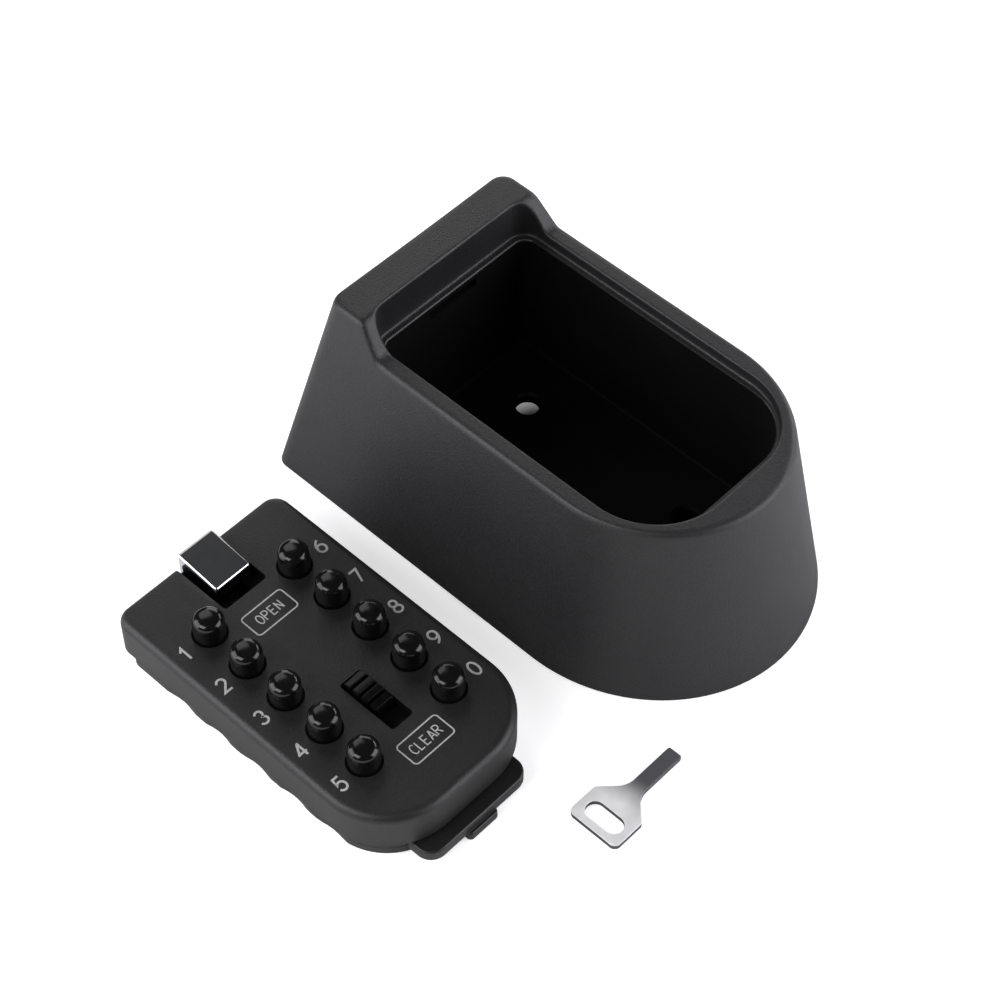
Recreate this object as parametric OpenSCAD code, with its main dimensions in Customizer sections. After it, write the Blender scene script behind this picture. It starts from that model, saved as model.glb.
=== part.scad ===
// Wall key safe: a tapered cast shell, its lift-off push-button lid and the flat key that sets the code.
// Millimetres. Origin at the middle of the shell's back face, Z out from the wall,
// Y towards the browed top end, X to the right of someone facing the safe.
// The lid lies on its back beside the shell, as it does when the safe is open.

/* [Shell] */
// Width of the back face
shell_w = 65; // [63:0.5:72]
// Length of the back face
shell_l = 105; // [104:0.5:112]
// Height of the side rim above the wall
rim_z = 41; // [40:0.5:43]
// Width across the rim
rim_w = 49.8; // [49:0.2:54]
// How far the rim's round end lies below the middle
rim_end = 44.4; // [44:0.2:47]
// How far the brow stands above the rim
brow_rise = 6.4; // [5.6:0.2:7]
// How far the brow's far edge lies above the middle
brow_far = 43; // [42.6:0.2:46]
// Where the brow starts to slope down to the rim
brow_flat = 35; // [34.5:0.5:36.5]
// Where that slope meets the rim
brow_foot = 28.5; // [24:0.5:31]
// Middle of the round end, below the middle of the shell
end_centre = 18; // [16:0.5:20]
// Upright corner radius at the flat end
corner_r = 3; // [2:0.5:5]

/* [Lid seat and cavity] */
// Width of the recess the lid drops into
seat_w = 42.6; // [42.2:0.2:43.4]
// Length of that recess
seat_l = 73; // [72.6:0.2:73.8]
// Recess corner radius at the flat end
seat_r = 4; // [3:0.5:5]
// Recess corner radius at the round end
seat_end_r = 13; // [11.5:0.5:14]
// Width of the ledge at each side
ledge = 1.3; // [1.1:0.1:1.6]
// Depth left for keys below the closed lid
use_depth = 25; // [22:0.5:27]

/* [Wall fixing] */
// Spacing of the wall screw holes across
wall_x = 16; // [14:1:20]
// Spacing of the wall screw holes along
wall_y = 42; // [38:1:46]
// Diameter of the wall screw holes
wall_d = 5; // [4.5:0.1:5.6]
// Depth of the relief in the back face
pocket_h = 1.2; // [0.8:0.1:2]
// Width of the flat land round the relief
land = 7; // [6:0.5:9]

/* [Lid] */
// off lays the lid beside the shell, closed puts it in its seat
lid_place = "off"; // [off, closed]
// Where the lid lies, left of the shell
lid_x = -65.6; // [-72:0.2:-64.6]
// Where the lid lies, along the shell
lid_y = 2; // [-4:0.5:6]
// Gap between the lid and its seat, all round
lid_gap = 0.5; // [0.4:0.05:0.6]
// Height of the lid's flange, which brings the closed face level with the brow
flange_h = 8.9; // [8.7:0.1:9.6]
// Depth of the plug below the lid's flange
plug_h = 5.1; // [5:0.1:5.6]
// Thickness of the lid's face
face_t = 2.5; // [2.2:0.1:2.7]
// Rounding of the face's edge
face_r = 1.5; // [1:0.1:1.8]
// Thickness of the lid's plug walls
plug_wall = 2; // [1.8:0.1:2.1]
// Depth of the scallops down the plug's sides
scallop = 0.5; // [0.3:0.1:0.7]
// Thickness of the back plate
back_t = 1.8; // [1.7:0.05:2]
// Width of the tongue that hooks under the round end's rim
tongue_w = 26; // [22:0.5:26.5]
// Thickness of the tongue
tongue_t = 2.4; // [2.2:0.1:2.5]
// How far the tongue reaches past the flange
tongue_out = 2.7; // [2.2:0.1:2.9]

/* [Buttons and code pins] */
// Distance between rows
row_pitch = 10.1; // [9.9:0.1:10.4]
// Distance between the two columns
column_gap = 21.5; // [21:0.1:22]
// Diameter of a button
button_d = 6.3; // [6:0.1:6.6]
// How far a button stands out of the face
button_out = 5; // [4.6:0.1:5.2]
// How far a button goes in
button_travel = 2.4; // [2:0.1:2.4]
// Diameter of a code pin
pin_d = 3.6; // [3.4:0.1:3.8]
// Wire of the button springs
wire_d = 0.4; // [0.36:0.02:0.44]

/* [Open and clear slides] */
// Width of the opening slide's cap
open_w = 8; // [7.6:0.1:8.4]
// Length of the opening slide's cap
open_l = 10.7; // [10.3:0.1:10.9]
// How far the cap stands out of the face at its low end
open_out = 2.2; // [1.8:0.1:2.6]
// How much higher the cap stands at the lid's top end
open_rise = 2.6; // [2:0.1:3]
// How far the opening slide travels
open_travel = 3.2; // [3:0.1:3.2]
// How far the bolt reaches past the lid
bolt_out = 2.6; // [2.4:0.1:2.8]
// Width of the bolt
bolt_w = 12; // [10:0.5:12.5]
// Width of the clearing slide
clear_w = 4.6; // [4.2:0.1:4.8]
// How far the clearing slide's top end lies below the middle of the lid
clear_drop = 5.9; // [5.6:0.1:6.4]
// Length of the clearing slide's ridged top
clear_l = 9; // [8.5:0.1:9.4]
// How far the clearing slide travels
clear_travel = 4; // [3.6:0.1:4]

/* [Code key] */
// Length of the key
key_l = 23; // [21:0.5:25]
// Width of the key's bow
key_bow = 11.5; // [10.5:0.5:13]
// Width of the key's blade
blade_w = 3.1; // [2.8:0.1:3.2]
// Thickness of the key
key_t = 1.2; // [1:0.1:1.2]
// Where the blade's tip lies, across
key_x = -30; // [-34:0.5:-28]
// Where the blade lies, along
key_y = -52; // [-56:0.5:-51]

/* [Fits] */
// Running clearance, at a radius
run = 0.08; // [0.05:0.01:0.1]
// Working gap round pieces that pass without touching
free = 0.4; // [0.35:0.05:0.45]

/* [Hidden] */
$fn = 40;
eps = 0.02;
// Shell
brow_z = rim_z + brow_rise;
seat_z = brow_z - flange_h;
half_base = shell_w / 2;
half_len = shell_l / 2;
side_lean = (half_base - rim_w / 2) / rim_z;
end_lean = (half_len - rim_end) / rim_z;
top_half = half_base - side_lean * brow_z;
top_end = half_len - end_lean * brow_z;
brow_blend = 0.26;
pocket_end_r = 22;
pocket_r = 4;
// Seat, with the cavity below its ledge
seat_top = 35;
seat_mid = seat_top - seat_l / 2;
end_ledge = ledge + 0.2;
cavity_w = seat_w - 2 * ledge;
cavity_l = seat_l - 2 * end_ledge;
// Lid, measured from its own middle, back plate at the bottom
lid_w = seat_w - 2 * lid_gap;
lid_l = seat_l - 2 * lid_gap + 0.2;
lid_r = seat_r - lid_gap;
lid_end_r = seat_end_r - lid_gap;
lid_h = plug_h + flange_h;
plug_gap = 0.5;
plug_w = cavity_w - 2 * plug_gap;
plug_l = cavity_l - 2 * plug_gap;
plug_r = lid_r - 1.2;
plug_end_r = lid_end_r - 1.2;
scallop_r = 12;
lid_back_z = seat_z - plug_h;
floor_z = lid_back_z - use_depth;
face_under = lid_h - face_t;
// Layers inside the lid
lock_z = back_t;
lock_t = 1.6;
lock_web = 2.2;
lock_rim = 1;
lock_side = 1.6;
lock_overlap = 1;
tongue_z = back_t;
bar_w = 10;
bar_past = 3.5;
bar_tooth = 3;
bar_gap = 0.85;
web_w = 4;
web_l = 10;
shelf_z = 5;
shelf_t = 1;
collar_t = 1.2;
collar_r = 4.2;
spring_z = shelf_z + shelf_t;
spring_h = face_under - collar_t - spring_z;
bar_z = spring_z + free;
bar_t = face_under - collar_t - button_travel - 0.3 - bar_z;
spring_turns = 3;
spring_r = pin_d / 2 + 0.7 + wire_d / 2;
spring_gap = (spring_h - wire_d) / spring_turns - wire_d;
pin_z = back_t + button_travel - 1.5;
spigot_d = 3;
spigot_h = 3.4;
pin_hole = pin_d / 2 + free;
// Screws that hold the lid together
screw_d = 2.4;
screw_head_d = 4.4;
boss_r = 2;
screw_side = plug_w / 2 - 5.3;
screw_high = plug_l / 2 - 4.9;
screw_low = -plug_l / 2 + 4.1;
screw_half = 5.6;
screw_at = [[-screw_side, screw_high], [screw_side, screw_high],
  [-screw_half, screw_low], [screw_half, screw_low]];
// Opening slide
cap_top = lid_l / 2 - 0.2;
cap_low = cap_top - open_l;
well_low = cap_low - open_travel - 0.1;
well_w = open_w + 1.8;
well_z = lid_h - 3.1;
well_floor = 1.5;
stem_w = 5;
stem_l = 4;
stem_y = cap_low + 2;
// Clearing slide
clear_top = -clear_drop;
clear_slot_w = clear_w + 0.7;
clear_slot_top = clear_top + free;
clear_slot_low = clear_top - clear_l - clear_travel - free;
ridge_h = 0.6;
ridge_mid = 0.7;
ridge_gap = 0.25;
skirt_t = 1.4;
skirt_top = clear_top + 1.4;
skirt_low = clear_slot_low - 2.4;
skirt_w = clear_slot_w + 3.4;
post_w = 6;
post_t = 1.5;
post_h = 3.4;
post_y = -plug_l / 2 + plug_wall + 2.5;
// Springs that lie along the lid
long_r = 0.9;
open_spring_low = -plug_l / 2 + 3;
open_spring_top = at_y(4) - pin_hole - lock_web;
clear_spring_z = face_under - skirt_t / 2 - 0.5;
// Tongue
tongue_end = -lid_l / 2 - tongue_out;
tongue_cut = 2.5;
under_room = 0.6;
lip_end = tongue_end - 0.8;
lip_w = 7.5;

echo(button_spring_gap = spring_gap);
echo(open_spring_gap = (open_spring_top - open_spring_low - wire_d) / 4 - wire_d);
echo(clear_spring_gap = (skirt_low - post_y - wire_d) / 4 - wire_d);

// Name of the piece to draw, or all

// Where the lid is drawn
module at_lid() {
  if (lid_place == "closed")
    translate([0, seat_mid, lid_back_z]) children();
  else
    translate([lid_x, lid_y, 0]) children();
}

// Where button, spring and pin number i stand on the lid, counted down the left column first
function at_x(i) = (i < 5 ? -1 : 1) * column_gap / 2;
function at_y(i) = (2 - i % 5) * row_pitch;

// Flat outline w wide between low and high, with its own corner radius at each end
module rounded(w, low, high, r_low, r_high) {
  translate([-w / 2, low + r_low])
    square([w, high - low - r_low - r_high]);
  translate([-w / 2 + r_low, low])
    square([w - 2 * r_low, r_low + eps]);
  translate([-w / 2 + r_high, high - r_high - eps])
    square([w - 2 * r_high, r_high + eps]);
  for (s = [-1, 1]) {
    translate([s * (w / 2 - r_low), low + r_low])
      circle(r = r_low);
    translate([s * (w / 2 - r_high), high - r_high])
      circle(r = r_high);
  }
}

// Outline of the lid seat, shrunk by an even gap
module seat_outline(gap_x, gap_y, r_less) {
  rounded(seat_w - 2 * gap_x, seat_mid - seat_l / 2 + gap_y, seat_mid + seat_l / 2 - gap_y,
    seat_end_r - r_less, seat_r - r_less);
}

// Straight ramp from 0 to 1 that starts and ends in short curves
function half_ramp(t) = (t < brow_blend ? t * t / (2 * brow_blend) : t - brow_blend / 2) / (1 - brow_blend);
function ramp(t) = t < 0.5 ? half_ramp(t) : 1 - half_ramp(1 - t);

// Scallops beside the rows, down both sides of the plug
module scallops() {
  for (s = [-1, 1], k = [0 : 4])
    translate([s * (plug_w / 2 + scallop_r - scallop), at_y(k)])
      circle(r = scallop_r, $fn = 96);
}

// Outline of the plug under the lid's flange, inset evenly
module plug_outline(inset) {
  rounded(plug_w - 2 * inset, -plug_l / 2 + inset, plug_l / 2 - inset,
    plug_end_r - inset, max(plug_r - inset, 0.3));
}

// Thin slice of the shell's outside: half width, far flat end and near round end
module slice(half, far, near, z, r) {
  translate([0, 0, z]) {
    translate([-half + r, 0, 0])
      cube([2 * (half - r), far, eps]);
    for (s = [-1, 1])
      translate([s * (half - r), far - r, 0])
        cylinder(r = r, h = eps, $fn = 32);
    translate([0, -end_centre, 0])
      scale([half, near - end_centre, 1])
        cylinder(r = 1, h = eps, $fn = 96);
  }
}

// The shell's tapered outside, up to the level of the brow
module taper() {
  hull() {
    slice(half_base, half_len, half_len, 0, corner_r);
    slice(top_half, brow_far, top_end, brow_z - eps, corner_r);
  }
}

// Side view of the shell: the rim, then the slope up to the brow
module side_view() {
  steps = 16;
  slope = [for (i = [0 : steps])
    [brow_foot + (brow_flat - brow_foot) * i / steps, rim_z + brow_rise * ramp(i / steps)]];
  rotate([90, 0, 90])
    translate([0, 0, -shell_w])
      linear_extrude(2 * shell_w)
        polygon(concat([[-shell_l, -1], [-shell_l, rim_z]], slope, [[shell_l, brow_z], [shell_l, -1]]));
}

// Shallow relief in the back, with lands left round the wall screws and a rib across
module back_pocket() {
  difference() {
    translate([0, 0, -eps])
      linear_extrude(pocket_h + eps)
        rounded(shell_w - 2 * land, -half_len + land + corner_r + 1, half_len - land, pocket_end_r, pocket_r);
    for (x = [-1, 1])
      for (y = [-1, 1])
        translate([x * wall_x / 2, y * wall_y / 2, -1])
          cylinder(r = wall_d / 2 + 2.6, h = pocket_h + 2);
    translate([-shell_w / 2, -2, -1])
      cube([shell_w, 4, pocket_h + 2]);
  }
}

// Space for the lid's tongue, under the lip at the round end
module tongue_slot() {
  wide = tongue_w / 2 + free;
  end = seat_mid + tongue_end - free;
  low = lid_back_z - under_room;
  translate([0, 0, low])
    linear_extrude(lid_back_z + tongue_z + tongue_t + free - low)
      polygon([[-wide, seat_mid], [-wide, end + tongue_cut], [-wide + tongue_cut, end],
        [wide - tongue_cut, end], [wide, end + tongue_cut], [wide, seat_mid]]);
  translate([-lip_w / 2 - free, seat_mid + lip_end - free, low])
    cube([lip_w + 2 * free, free - lip_end, tongue_z + under_room + free]);
}

module shell() {
  color([0.2, 0.2, 0.21])
  difference() {
    intersection() {
      taper();
      side_view();
    }
    translate([0, 0, seat_z])
      linear_extrude(brow_z)
        seat_outline(0, 0, 0);
    translate([0, 0, floor_z])
      linear_extrude(brow_z)
        seat_outline(ledge, end_ledge, ledge);
    // Slot for the bolt in the flat end
    translate([-bolt_w / 2 - free, seat_mid, lid_back_z + lock_z - 0.3])
      cube([bolt_w + 2 * free, lid_l / 2 + bolt_out + free, lock_t + 0.6]);
    tongue_slot();
    back_pocket();
    for (x = [-1, 1])
      for (y = [-1, 1])
        translate([x * wall_x / 2, y * wall_y / 2, -1])
          cylinder(r = wall_d / 2, h = floor_z + 2);
  }
}

// One rounded corner post of the lid's flange
module flange_post(x, y, r) {
  translate([x, y, plug_h])
    rotate_extrude($fn = 48)
      union() {
        square([r, flange_h - face_r]);
        square([r - face_r, flange_h]);
        translate([r - face_r, flange_h - face_r])
          circle(r = face_r, $fn = 16);
      }
}

module flange() {
  hull()
    for (s = [-1, 1]) {
      flange_post(s * (lid_w / 2 - lid_end_r), -lid_l / 2 + lid_end_r, lid_end_r);
      flange_post(s * (lid_w / 2 - lid_r), lid_l / 2 - lid_r, lid_r);
    }
}

module lid_front() {
  color([0.22, 0.22, 0.22])
  at_lid()
  difference() {
    union() {
      difference() {
        union() {
          flange();
          translate([0, 0, back_t])
            linear_extrude(plug_h - back_t + eps)
              difference() {
                plug_outline(0);
                scallops();
              }
        }
        translate([0, 0, back_t - 1])
          linear_extrude(face_under - back_t + 1)
            plug_outline(plug_wall);
      }
      // Floor under the opening slide's well
      translate([-well_w / 2 - 1.5, well_low - 1.5, well_z - well_floor])
        cube([well_w + 3, plug_l / 2 - well_low, lid_h - well_z]);
      // Post behind the clearing spring
      translate([-post_w / 2, post_y - post_t, face_under - post_h])
        cube([post_w, post_t, post_h + 0.1]);
      for (p = screw_at)
        translate([p[0], p[1], spring_z])
          cylinder(r = boss_r, h = face_under - spring_z + 0.5);
    }
    for (i = [0 : 9])
      translate([at_x(i), at_y(i), face_under - 1])
        cylinder(r = button_d / 2 + run, h = face_t + 2);
    // Well for the opening slide, open at the top end
    translate([-well_w / 2, well_low, well_z])
      cube([well_w, lid_l, lid_h]);
    translate([-stem_w / 2 - free, stem_y - open_travel - free, well_z - 3])
      cube([stem_w + 2 * free, stem_l + open_travel + 2 * free, 4]);
    // Slot for the clearing slide
    translate([-clear_slot_w / 2, clear_slot_low, face_under - 1])
      cube([clear_slot_w, clear_slot_top - clear_slot_low, face_t + 2]);
    // Ways out for the bolt and the tongue
    translate([-bolt_w / 2 - free, 0, back_t - 1])
      cube([bolt_w + 2 * free, lid_l, lock_t + 1 + free]);
    translate([-tongue_w / 2 - 0.1, -lid_l, back_t - 1])
      cube([tongue_w + 0.2, lid_l / 2 + 6, tongue_t + 1.1]);
    for (p = screw_at)
      translate([p[0], p[1], spring_z - 1])
        cylinder(r = screw_d / 2, h = 4.2);
  }
}

module lid_back() {
  color([0.16, 0.16, 0.16])
  at_lid()
  difference() {
    union() {
      linear_extrude(back_t)
        difference() {
          plug_outline(0);
          scallops();
        }
      translate([0, 0, tongue_z - eps])
        linear_extrude(tongue_t + eps)
          polygon([[-tongue_w / 2, open_spring_low], [-tongue_w / 2, tongue_end + tongue_cut],
            [-tongue_w / 2 + tongue_cut, tongue_end], [tongue_w / 2 - tongue_cut, tongue_end],
            [tongue_w / 2, tongue_end + tongue_cut], [tongue_w / 2, open_spring_low]]);
      translate([-lip_w / 2, lip_end, 0])
        cube([lip_w, -lip_end - plug_l / 2 + 2, back_t]);
      for (p = screw_at)
        translate([p[0], p[1], back_t - eps])
          cylinder(r = boss_r, h = shelf_z - back_t + eps);
    }
    for (i = [0 : 9])
      translate([at_x(i), at_y(i), -1])
        cylinder(r = pin_hole, h = back_t + 2);
    for (p = screw_at)
      translate([p[0], p[1], -1]) {
        cylinder(r = screw_d / 2 + 0.1, h = shelf_z + 2);
        cylinder(r = screw_head_d / 2 + 0.15, h = 2.1);
      }
  }
}

module spring_shelf() {
  color([0.6, 0.6, 0.62])
  at_lid()
  difference() {
    translate([0, 0, shelf_z])
      linear_extrude(shelf_t)
        plug_outline(plug_wall + 0.3);
    for (i = [0 : 9])
      translate([at_x(i), at_y(i), shelf_z - 1])
        cylinder(r = pin_hole, h = shelf_t + 2);
    for (p = screw_at)
      translate([p[0], p[1], shelf_z - 1])
        cylinder(r = screw_d / 2 + 0.1, h = shelf_t + 2);
    translate([-stem_w / 2 - free, stem_y - open_travel - free, shelf_z - 1])
      cube([stem_w + 2 * free, stem_l + open_travel + 2 * free, shelf_t + 2]);
  }
}

module back_screws() {
  color([0.55, 0.55, 0.56])
  at_lid()
  for (p = screw_at)
    translate([p[0], p[1], 0])
      difference() {
        union() {
          translate([0, 0, 0.1])
            cylinder(r = screw_head_d / 2, h = 1);
          translate([0, 0, 0.5])
            cylinder(r = screw_d / 2 - 0.02, h = spring_z + 2.4);
        }
        for (a = [0, 90])
          rotate([0, 0, a])
            translate([-1.4, -0.3, 0])
              cube([2.8, 0.6, 0.7]);
      }
}

// Button number i: a domed cap, a collar under the face and a socket for its code pin
module button(i) {
  dome = 1.6;
  top = lid_h + button_out;
  color([0.03, 0.03, 0.03])
  at_lid()
  translate([at_x(i), at_y(i), 0])
  difference() {
    union() {
      translate([0, 0, face_under - collar_t])
        cylinder(r = collar_r, h = collar_t);
      translate([0, 0, face_under - eps])
        rotate_extrude($fn = 32)
          intersection() {
            union() {
              square([button_d / 2, top - dome - face_under + eps]);
              square([button_d / 2 - dome, top - face_under + eps]);
              translate([button_d / 2 - dome, top - dome - face_under + eps])
                circle(r = dome, $fn = 20);
            }
            square([button_d, top]);
          }
    }
    translate([0, 0, face_under - collar_t - 1])
      cylinder(r = spigot_d / 2 + run, h = spigot_h + 1.2);
  }
}

// Code pin number i: slotted end for the code key, half notches that meet the lock plate
module pin(i) {
  color([0.75, 0.66, 0.4])
  at_lid()
  translate([at_x(i), at_y(i), 0])
  difference() {
    union() {
      translate([0, 0, pin_z])
        cylinder(r = pin_d / 2, h = face_under - collar_t - pin_z);
      translate([0, 0, face_under - collar_t - eps])
        cylinder(r = spigot_d / 2, h = spigot_h);
    }
    translate([-pin_d, -key_t / 2 - 0.12, pin_z - 1])
      cube([2 * pin_d, key_t + 0.24, 2]);
    translate([-pin_d, pin_d / 2 - 0.7, lock_z + button_travel])
      cube([2 * pin_d, 2, lock_t]);
  }
}

// A coil spring of round wire, standing on its lower end
module coil(r, h, turns) {
  per = 8;
  sides = 6;
  n = turns * per;
  rise = h - wire_d;
  pts = [for (k = [0 : n]) for (j = [0 : sides - 1])
    let (a = 360 * k / per, b = 360 * j / sides, q = r + wire_d / 2 * cos(b))
    [q * cos(a), q * sin(a), wire_d / 2 + rise * k / n + wire_d / 2 * sin(b)]];
  skin = [for (k = [0 : n - 1]) for (j = [0 : sides - 1])
    [k * sides + j, (k + 1) * sides + j, (k + 1) * sides + (j + 1) % sides, k * sides + (j + 1) % sides]];
  ends = [[for (j = [0 : sides - 1]) j], [for (j = [0 : sides - 1]) n * sides + sides - 1 - j]];
  polyhedron(points = pts, faces = concat(skin, ends));
}

module button_spring(i) {
  color([0.7, 0.7, 0.72])
  at_lid()
  translate([at_x(i), at_y(i), spring_z])
    coil(spring_r, spring_h, spring_turns);
}

// Wedge of the opening slide's cap, w wide, shortened at its ends and lowered at its top
module cap_block(w, inset, lower) {
  translate([-w / 2, 0, 0])
    rotate([90, 0, 90])
      linear_extrude(w)
        polygon([[cap_low + inset, well_z], [cap_top - inset, well_z],
          [cap_top - inset, lid_h + open_out + open_rise - lower],
          [cap_low + inset, lid_h + open_out - lower]]);
}

module open_slide() {
  edge = 0.4;
  color([0.8, 0.81, 0.83])
  at_lid() {
    hull() {
      cap_block(open_w, 0, edge);
      cap_block(open_w - 2 * edge, edge, 0);
    }
    translate([-stem_w / 2, stem_y, lock_z + lock_t])
      cube([stem_w, stem_l, well_z - lock_z - lock_t + eps]);
  }
}

module lock_plate() {
  half = column_gap / 2 + pin_hole + lock_side;
  high = at_y(0) + open_travel + pin_hole + lock_rim;
  bolt_tip = lid_l / 2 + bolt_out;
  color([0.62, 0.63, 0.65])
  at_lid()
  translate([0, 0, lock_z])
    linear_extrude(lock_t)
      difference() {
        union() {
          translate([-half, open_spring_top])
            square([2 * half, high - open_spring_top]);
          translate([-bolt_w / 2, high - lock_overlap])
            square([bolt_w, bolt_tip - high + lock_overlap]);
        }
        // Room for the screw pillars as the plate comes down
        for (p = screw_at)
          translate([p[0] - boss_r - free, p[1] - boss_r - free])
            square([2 * (boss_r + free), open_travel + 2 * (boss_r + free)]);
        for (i = [0 : 9])
          translate([at_x(i), at_y(i)]) {
            circle(r = pin_hole);
            translate([0, open_travel])
              circle(r = pin_hole);
            translate([-pin_hole, 0])
              square([2 * pin_hole, open_travel]);
          }
      }
}

module open_spring() {
  color([0.7, 0.7, 0.72])
  at_lid()
  translate([0, open_spring_low, back_t + 0.1 + long_r + wire_d / 2])
    rotate([-90, 0, 0])
      coil(long_r, open_spring_top - open_spring_low, 4);
}

module clear_slide() {
  ridges = 4;
  step = clear_l / ridges;
  color([0.03, 0.03, 0.03])
  at_lid() {
    translate([-skirt_w / 2, skirt_low, face_under - skirt_t])
      cube([skirt_w, skirt_top - skirt_low, skirt_t]);
    translate([-clear_w / 2, clear_top - clear_l, face_under - eps])
      cube([clear_w, clear_l, face_t - ridge_h]);
    for (i = [0 : ridges - 1])
      translate([-clear_w / 2, clear_top - (i + 0.5) * step, lid_h - ridge_mid])
        rotate([0, 90, 0])
          cylinder(r = step / 2 - ridge_gap, h = clear_w, $fn = 24);
  }
}

module clear_bar() {
  tip = column_gap / 2 - spring_r - wire_d / 2 - bar_gap;
  color([0.6, 0.6, 0.62])
  at_lid() {
    translate([-bar_w / 2, at_y(4) - bar_past, bar_z])
      cube([bar_w, at_y(0) - at_y(4) + bar_past + bar_tooth / 2, bar_t]);
    for (i = [0 : 9])
      translate([i < 5 ? -tip : 0, at_y(i) - bar_tooth / 2, bar_z])
        cube([tip, bar_tooth, bar_t]);
    translate([-web_w / 2, skirt_low + post_h, bar_z + bar_t - eps])
      cube([web_w, web_l, face_under - skirt_t - bar_z - bar_t + eps]);
  }
}

module clear_spring() {
  color([0.7, 0.7, 0.72])
  at_lid()
  translate([0, post_y, clear_spring_z])
    rotate([-90, 0, 0])
      coil(long_r, skirt_low - post_y, 4);
}

// Flat stamped key: bow with a slot, two hollow shoulders, straight blade
module code_key() {
  bow_l = 7.4;
  neck = 4;
  fillet = (key_bow - blade_w) / 2;
  color([0.78, 0.79, 0.8])
  translate([key_x, key_y, 0])
    linear_extrude(key_t)
      difference() {
        union() {
          translate([-key_l, -key_bow / 2])
            square([bow_l, key_bow]);
          translate([-key_l + bow_l - eps, -key_bow / 2])
            square([fillet, key_bow]);
          translate([-key_l + bow_l, -blade_w / 2])
            square([key_l - bow_l - 0.5, blade_w]);
          translate([-1, -blade_w / 2 + 0.4])
            square([1, blade_w - 0.8]);
        }
        for (s = [-1, 1]) {
          translate([-key_l + bow_l + fillet, s * key_bow / 2])
            circle(r = fillet);
          translate([-key_l, s * key_bow / 2])
            rotate([0, 0, 45])
              square(2.2, center = true);
        }
        translate([-key_l + bow_l / 2, 0]) {
          square([3.2, 5.8], center = true);
          for (s = [-1, 1])
            translate([0, s * 2.9])
              circle(r = 1.6);
        }
      }
}

shell();
lid_front();
lid_back();
spring_shelf();
back_screws();
button(0);  // button_1
button(1);  // button_2
button(2);  // button_3
button(3);  // button_4
button(4);  // button_5
button(5);  // button_6
button(6);  // button_7
button(7);  // button_8
button(8);  // button_9
button(9);  // button_0
button_spring(0);  // spring_1
button_spring(1);  // spring_2
button_spring(2);  // spring_3
button_spring(3);  // spring_4
button_spring(4);  // spring_5
button_spring(5);  // spring_6
button_spring(6);  // spring_7
button_spring(7);  // spring_8
button_spring(8);  // spring_9
button_spring(9);  // spring_0
pin(0);  // pin_1
pin(1);  // pin_2
pin(2);  // pin_3
pin(3);  // pin_4
pin(4);  // pin_5
pin(5);  // pin_6
pin(6);  // pin_7
pin(7);  // pin_8
pin(8);  // pin_9
pin(9);  // pin_0
open_slide();
lock_plate();
open_spring();
clear_slide();
clear_bar();
clear_spring();
code_key();
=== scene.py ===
# %% [markdown]
# A wall key safe, opened: the tapered shell lies on its back, the push-button lid lies
# beside it and the small flat key that sets the code lies in front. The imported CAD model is
# the frame. Every piece made below goes where that model says, in metres, and rides on one of
# its bodies, so that buttons still press and slides still slide.

# %% load the frame
import math
import bmesh
import bpy
import numpy as np
from mathutils import Matrix, Vector


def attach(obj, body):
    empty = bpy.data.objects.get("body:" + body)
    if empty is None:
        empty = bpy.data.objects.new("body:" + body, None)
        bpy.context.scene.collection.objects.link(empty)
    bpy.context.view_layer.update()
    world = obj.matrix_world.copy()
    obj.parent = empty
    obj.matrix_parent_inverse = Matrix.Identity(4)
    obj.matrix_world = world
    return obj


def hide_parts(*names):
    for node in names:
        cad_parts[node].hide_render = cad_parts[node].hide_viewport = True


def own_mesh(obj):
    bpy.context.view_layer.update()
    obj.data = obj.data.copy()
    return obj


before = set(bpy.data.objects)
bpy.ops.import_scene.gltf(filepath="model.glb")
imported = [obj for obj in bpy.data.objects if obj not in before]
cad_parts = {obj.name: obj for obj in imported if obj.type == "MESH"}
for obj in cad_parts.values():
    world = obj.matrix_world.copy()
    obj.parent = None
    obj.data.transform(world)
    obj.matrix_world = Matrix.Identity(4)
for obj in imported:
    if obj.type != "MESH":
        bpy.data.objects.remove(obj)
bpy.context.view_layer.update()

MM = 0.001

# %% [markdown]
# The camera comes first, because every later choice is judged through it. It could be placed
# by eye, but the shell's back is a known 65 by 105 mm, so its edges in the picture fix the
# view: a fit gave the turn, the height, a small roll, the distance and the focal length in
# pixels of a 1000 pixel frame. The focal length becomes a lens on a 36 mm sensor.

# %% camera
TURN, RISE, ROLL = (math.radians(a) for a in (-46.745, 51.754, 0.313))
SHIFT_X, SHIFT_Y, DISTANCE, FOCAL = 15.228, -1.728, 509.22, 2570.4
SENSOR, FRAME_PIXELS = 36.0, 1000


def direction(turn, rise):
    """The way from the object out to a viewer or a lamp."""
    level = math.cos(rise)
    return Vector((math.sin(turn) * level, -math.cos(turn) * level, math.sin(rise)))


back = direction(TURN, RISE)
right = Vector((math.cos(TURN), math.sin(TURN), 0.0))
up = back.cross(right)
rolled_right = right * math.cos(ROLL) + up * math.sin(ROLL)
rolled_up = up * math.cos(ROLL) - right * math.sin(ROLL)

camera_data = bpy.data.cameras.new("camera")
camera_data.sensor_width = SENSOR
camera_data.lens = FOCAL / FRAME_PIXELS * SENSOR
camera_data.clip_start, camera_data.clip_end = 0.01, 20.0
camera = bpy.data.objects.new("camera", camera_data)
bpy.context.scene.collection.objects.link(camera)
place = (rolled_right * -SHIFT_X + rolled_up * -SHIFT_Y + back * DISTANCE) * MM
axes = Matrix((rolled_right, rolled_up, back)).transposed().to_4x4()
camera.matrix_world = Matrix.Translation(place) @ axes
bpy.context.scene.camera = camera
print("camera at", [round(c, 4) for c in place], "lens", round(camera_data.lens, 2))

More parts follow.
